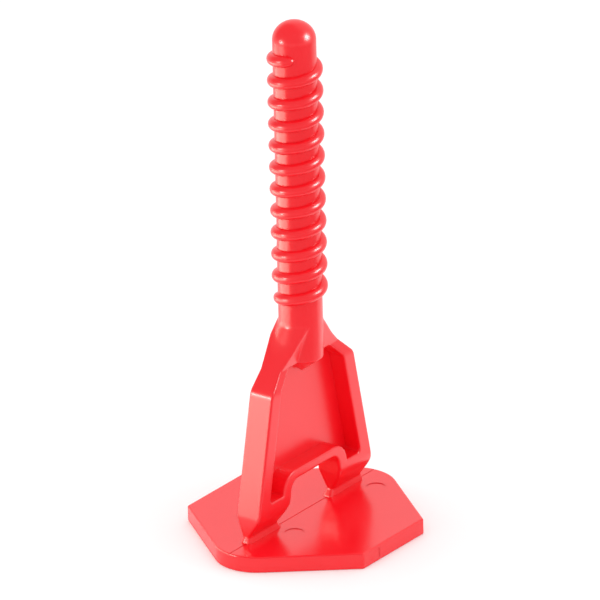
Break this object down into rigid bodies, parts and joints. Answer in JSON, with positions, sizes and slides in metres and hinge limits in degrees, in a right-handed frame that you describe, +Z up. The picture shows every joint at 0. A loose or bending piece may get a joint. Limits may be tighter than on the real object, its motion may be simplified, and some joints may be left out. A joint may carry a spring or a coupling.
{
  "type": "tile levelling clip",
  "caption": "One-piece plastic tile levelling clip: a flat foot plate, a spacer blade on two snap-off necks with an arched window, and a threaded post for a screw-down cap.",
  "frame": {"origin": "centre of the foot plate's underside, on the post's axis", "axes": "+Z up along the threaded post, +X along the tile joint and the blade, -Y towards the blade's pocketed front face"},
  "size_m": [0.032, 0.0278, 0.0705],
  "materials": {
    "red_plastic": "satin-gloss moulded red plastic"
  },
  "bodies": {
    "root": {"levelling_clip": "red_plastic"}
  },
  "joints": []
}
